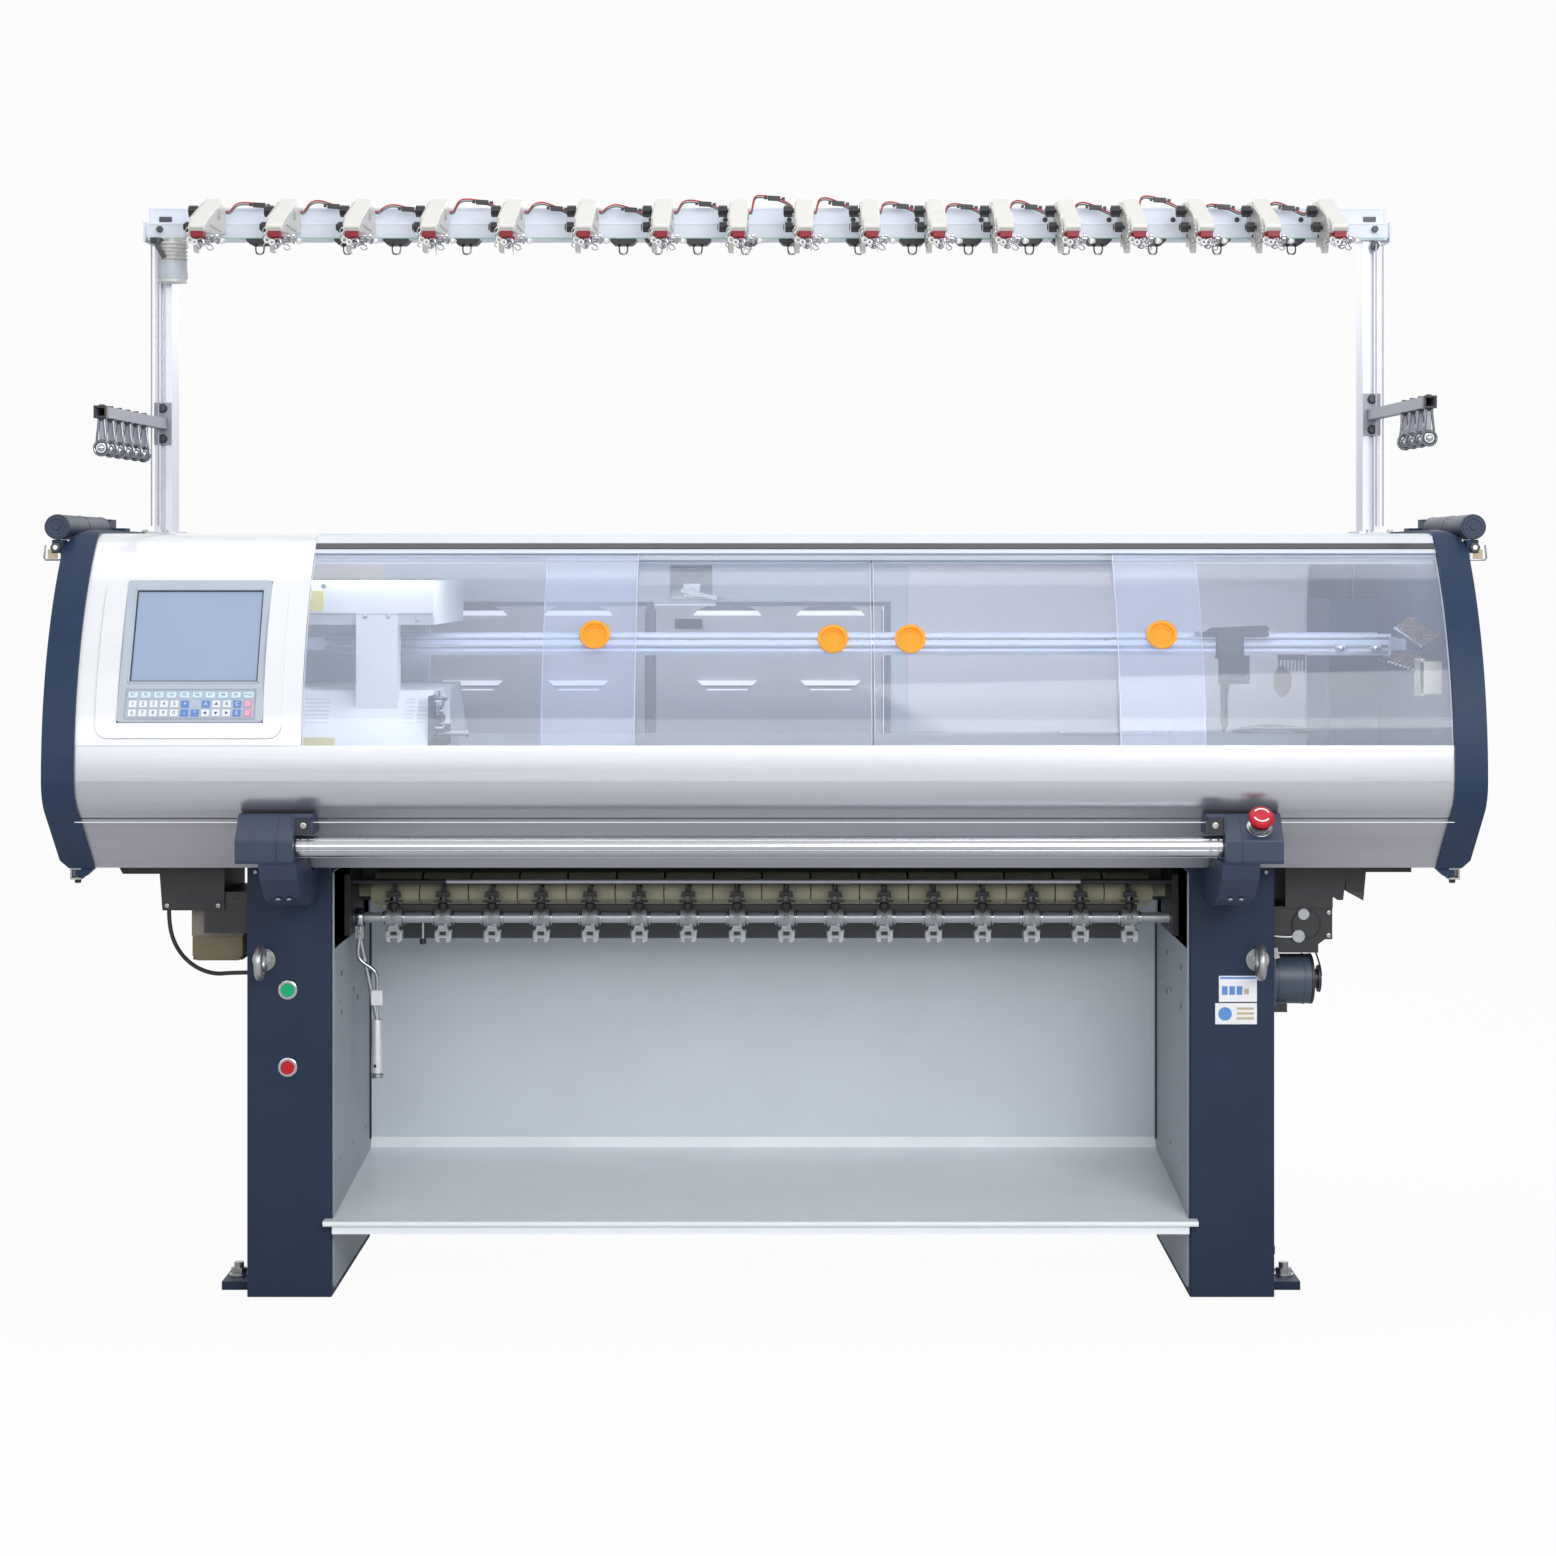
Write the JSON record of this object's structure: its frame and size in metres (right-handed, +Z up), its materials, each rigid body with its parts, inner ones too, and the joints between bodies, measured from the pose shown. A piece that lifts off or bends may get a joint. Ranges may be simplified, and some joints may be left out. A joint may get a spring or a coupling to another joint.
{
  "type": "industrial knitting machine",
  "caption": "Free-standing computerised flat knitting machine with a curved windowed casing, carriage, take-down rollers, cloth tray and an overhead yarn stand.",
  "frame": {"origin": "on the floor, midway between the two legs and midway along their depth", "axes": "+Z up, +X to the operator's right, -Y towards the operator"},
  "size_m": [2.318, 0.9365, 1.826],
  "materials": {
    "navy_paint": "satin powder coat",
    "light_grey_paint": "fine powder coat",
    "brushed_panel": "brushed",
    "white_fascia": "gloss",
    "bezel_grey": "satin",
    "screen_glass": "gloss",
    "keypad_film": "satin film",
    "clear_acrylic": "clear",
    "orange_pull": "gloss",
    "carriage_white": "satin",
    "machined_steel": "ground",
    "cast_bed": "painted",
    "aluminium_profile": "anodised",
    "chrome_steel": "polished",
    "cream_rubber": "matte",
    "black_plastic": "matte",
    "device_beige": "satin",
    "red_lens": "gloss",
    "lamp_white": "translucent",
    "green_cap": "gloss",
    "red_cap": "gloss",
    "zinc_steel": "zinc plated"
  },
  "bodies": {
    "machine": {"left_leg": "navy_paint", "right_leg": "navy_paint", "leg_inner_covers": "light_grey_paint", "levelling_feet": "zinc_steel", "lifting_eyes": "chrome_steel", "back_panel": "light_grey_paint", "fabric_tray": "light_grey_paint", "left_end_cap": "navy_paint", "right_end_cap": "navy_paint", "front_panel": "brushed_panel", "lower_front_strip": "brushed_panel", "control_fascia": "white_fascia", "display_bezel": "bezel_grey", "display_screen": "screen_glass", "keypad": "keypad_film", "top_cover": "light_grey_paint", "rear_wall": "light_grey_paint", "machine_bed": "cast_bed", "needle_beds": "machined_steel", "yarn_rails": "aluminium_profile", "take_down_frame": "black_plastic", "bar_brackets": "navy_paint", "switch_collars": "chrome_steel", "electrical_boxes": "black_plastic", "drive_motor": "navy_paint", "corrugated_cable": "black_plastic", "posts": "aluminium_profile", "yarn_beam": "aluminium_profile", "yarn_units": "device_beige", "unit_knobs": "black_plastic", "unit_lenses": "red_lens", "unit_guides": "chrome_steel", "signal_lamp": "lamp_white", "side_arms": "aluminium_profile"},
    "window_1": {"window_1": "clear_acrylic", "window_pull_1": "orange_pull"},
    "window_2": {"window_2": "clear_acrylic", "window_pull_2": "orange_pull"},
    "window_3": {"window_3": "clear_acrylic", "window_pull_3": "orange_pull"},
    "window_4": {"window_4": "clear_acrylic", "window_pull_4": "orange_pull"},
    "carriage": {"carriage_cam_boxes": "machined_steel", "carriage_covers": "carriage_white", "carriage_bridge": "carriage_white"},
    "yarn_carrier": {"yarn_carrier": "black_plastic"},
    "left_rear_door": {"left_rear_door": "light_grey_paint"},
    "right_rear_door": {"right_rear_door": "light_grey_paint"},
    "rear_door_latch": {"rear_door_latch": "black_plastic"},
    "take_down_roller": {"take_down_roller": "cream_rubber"},
    "pinch_lever": {"pinch_shaft": "chrome_steel", "spring_adjusters": "black_plastic", "release_lever": "zinc_steel"},
    "pinch_rollers": {"pinch_rollers": "cream_rubber"},
    "start_bar": {"start_bar": "aluminium_profile"},
    "emergency_stop": {"emergency_stop_head": "red_cap"},
    "green_button": {"green_button": "green_cap"},
    "red_button": {"red_button": "red_cap"},
    "left_feed_roller": {"left_feed_roller": "black_plastic"},
    "right_feed_roller": {"right_feed_roller": "black_plastic"}
  },
  "joints": [
    {"name": "window_1_slide", "type": "slide", "parent": "machine", "child": "window_1", "axis": [1, 0, 0], "range_m": [0, 0.38]},
    {"name": "window_2_slide", "type": "slide", "parent": "machine", "child": "window_2", "axis": [1, 0, 0], "range_m": [-0.372, 0]},
    {"name": "window_3_slide", "type": "slide", "parent": "machine", "child": "window_3", "axis": [1, 0, 0], "range_m": [0, 0.385]},
    {"name": "window_4_slide", "type": "slide", "parent": "machine", "child": "window_4", "axis": [1, 0, 0], "range_m": [-0.38, 0]},
    {"name": "carriage_travel", "type": "slide", "parent": "machine", "child": "carriage", "axis": [1, 0, 0], "range_m": [-0.265, 1.53]},
    {"name": "yarn_carrier_travel", "type": "slide", "parent": "machine", "child": "yarn_carrier", "axis": [1, 0, 0], "range_m": [-1.4, 0.15]},
    {"name": "left_rear_door_swing", "type": "hinge", "parent": "machine", "child": "left_rear_door", "pos_m": [-0.64075, 0.4464, 0.955], "axis": [0, 0, 1], "range_deg": [0, 110]},
    {"name": "right_rear_door_swing", "type": "hinge", "parent": "machine", "child": "right_rear_door", "pos_m": [0.21975, 0.4464, 0.955], "axis": [0, 0, -1], "range_deg": [0, 110]},
    {"name": "latch_turn", "type": "hinge", "parent": "right_rear_door", "child": "rear_door_latch", "pos_m": [-0.153, 0.44, 1.086], "axis": [0, -1, 0], "range_deg": [0, 90]},
    {"name": "take_down_spin", "type": "hinge", "parent": "machine", "child": "take_down_roller", "pos_m": [0, 0.01, 0.64], "axis": [1, 0, 0], "continuous": true},
    {"name": "pinch_open", "type": "hinge", "parent": "machine", "child": "pinch_lever", "pos_m": [0, -0.062, 0.6], "axis": [1, 0, 0], "range_deg": [0, 25]},
    {"name": "pinch_roller_spin", "type": "hinge", "parent": "pinch_lever", "child": "pinch_rollers", "pos_m": [0, -0.0383, 0.64], "axis": [1, 0, 0], "continuous": true},
    {"name": "start_bar_turn", "type": "hinge", "parent": "machine", "child": "start_bar", "pos_m": [0, -0.425, 0.752], "axis": [1, 0, 0], "range_deg": [-20, 20], "stiffness_Nm_per_rad": 3},
    {"name": "emergency_stop_press", "type": "slide", "parent": "machine", "child": "emergency_stop", "axis": [0, 0.7255, -0.6882], "range_m": [0, 0.004]},
    {"name": "green_button_press", "type": "slide", "parent": "machine", "child": "green_button", "axis": [0, 1, 0], "range_m": [0, 0.003], "stiffness_N_per_m": 400},
    {"name": "red_button_press", "type": "slide", "parent": "machine", "child": "red_button", "axis": [0, 1, 0], "range_m": [0, 0.003], "stiffness_N_per_m": 400},
    {"name": "left_feed_roller_spin", "type": "hinge", "parent": "machine", "child": "left_feed_roller", "pos_m": [-1.131, 0, 1.255], "axis": [0, 1, 0], "continuous": true},
    {"name": "right_feed_roller_spin", "type": "hinge", "parent": "machine", "child": "right_feed_roller", "pos_m": [1.147, 0, 1.255], "axis": [0, 1, 0], "continuous": true}
  ],
  "couplings": [
    {"joint": "pinch_roller_spin", "follows": "take_down_spin", "ratio": -1.6667}
  ]
}
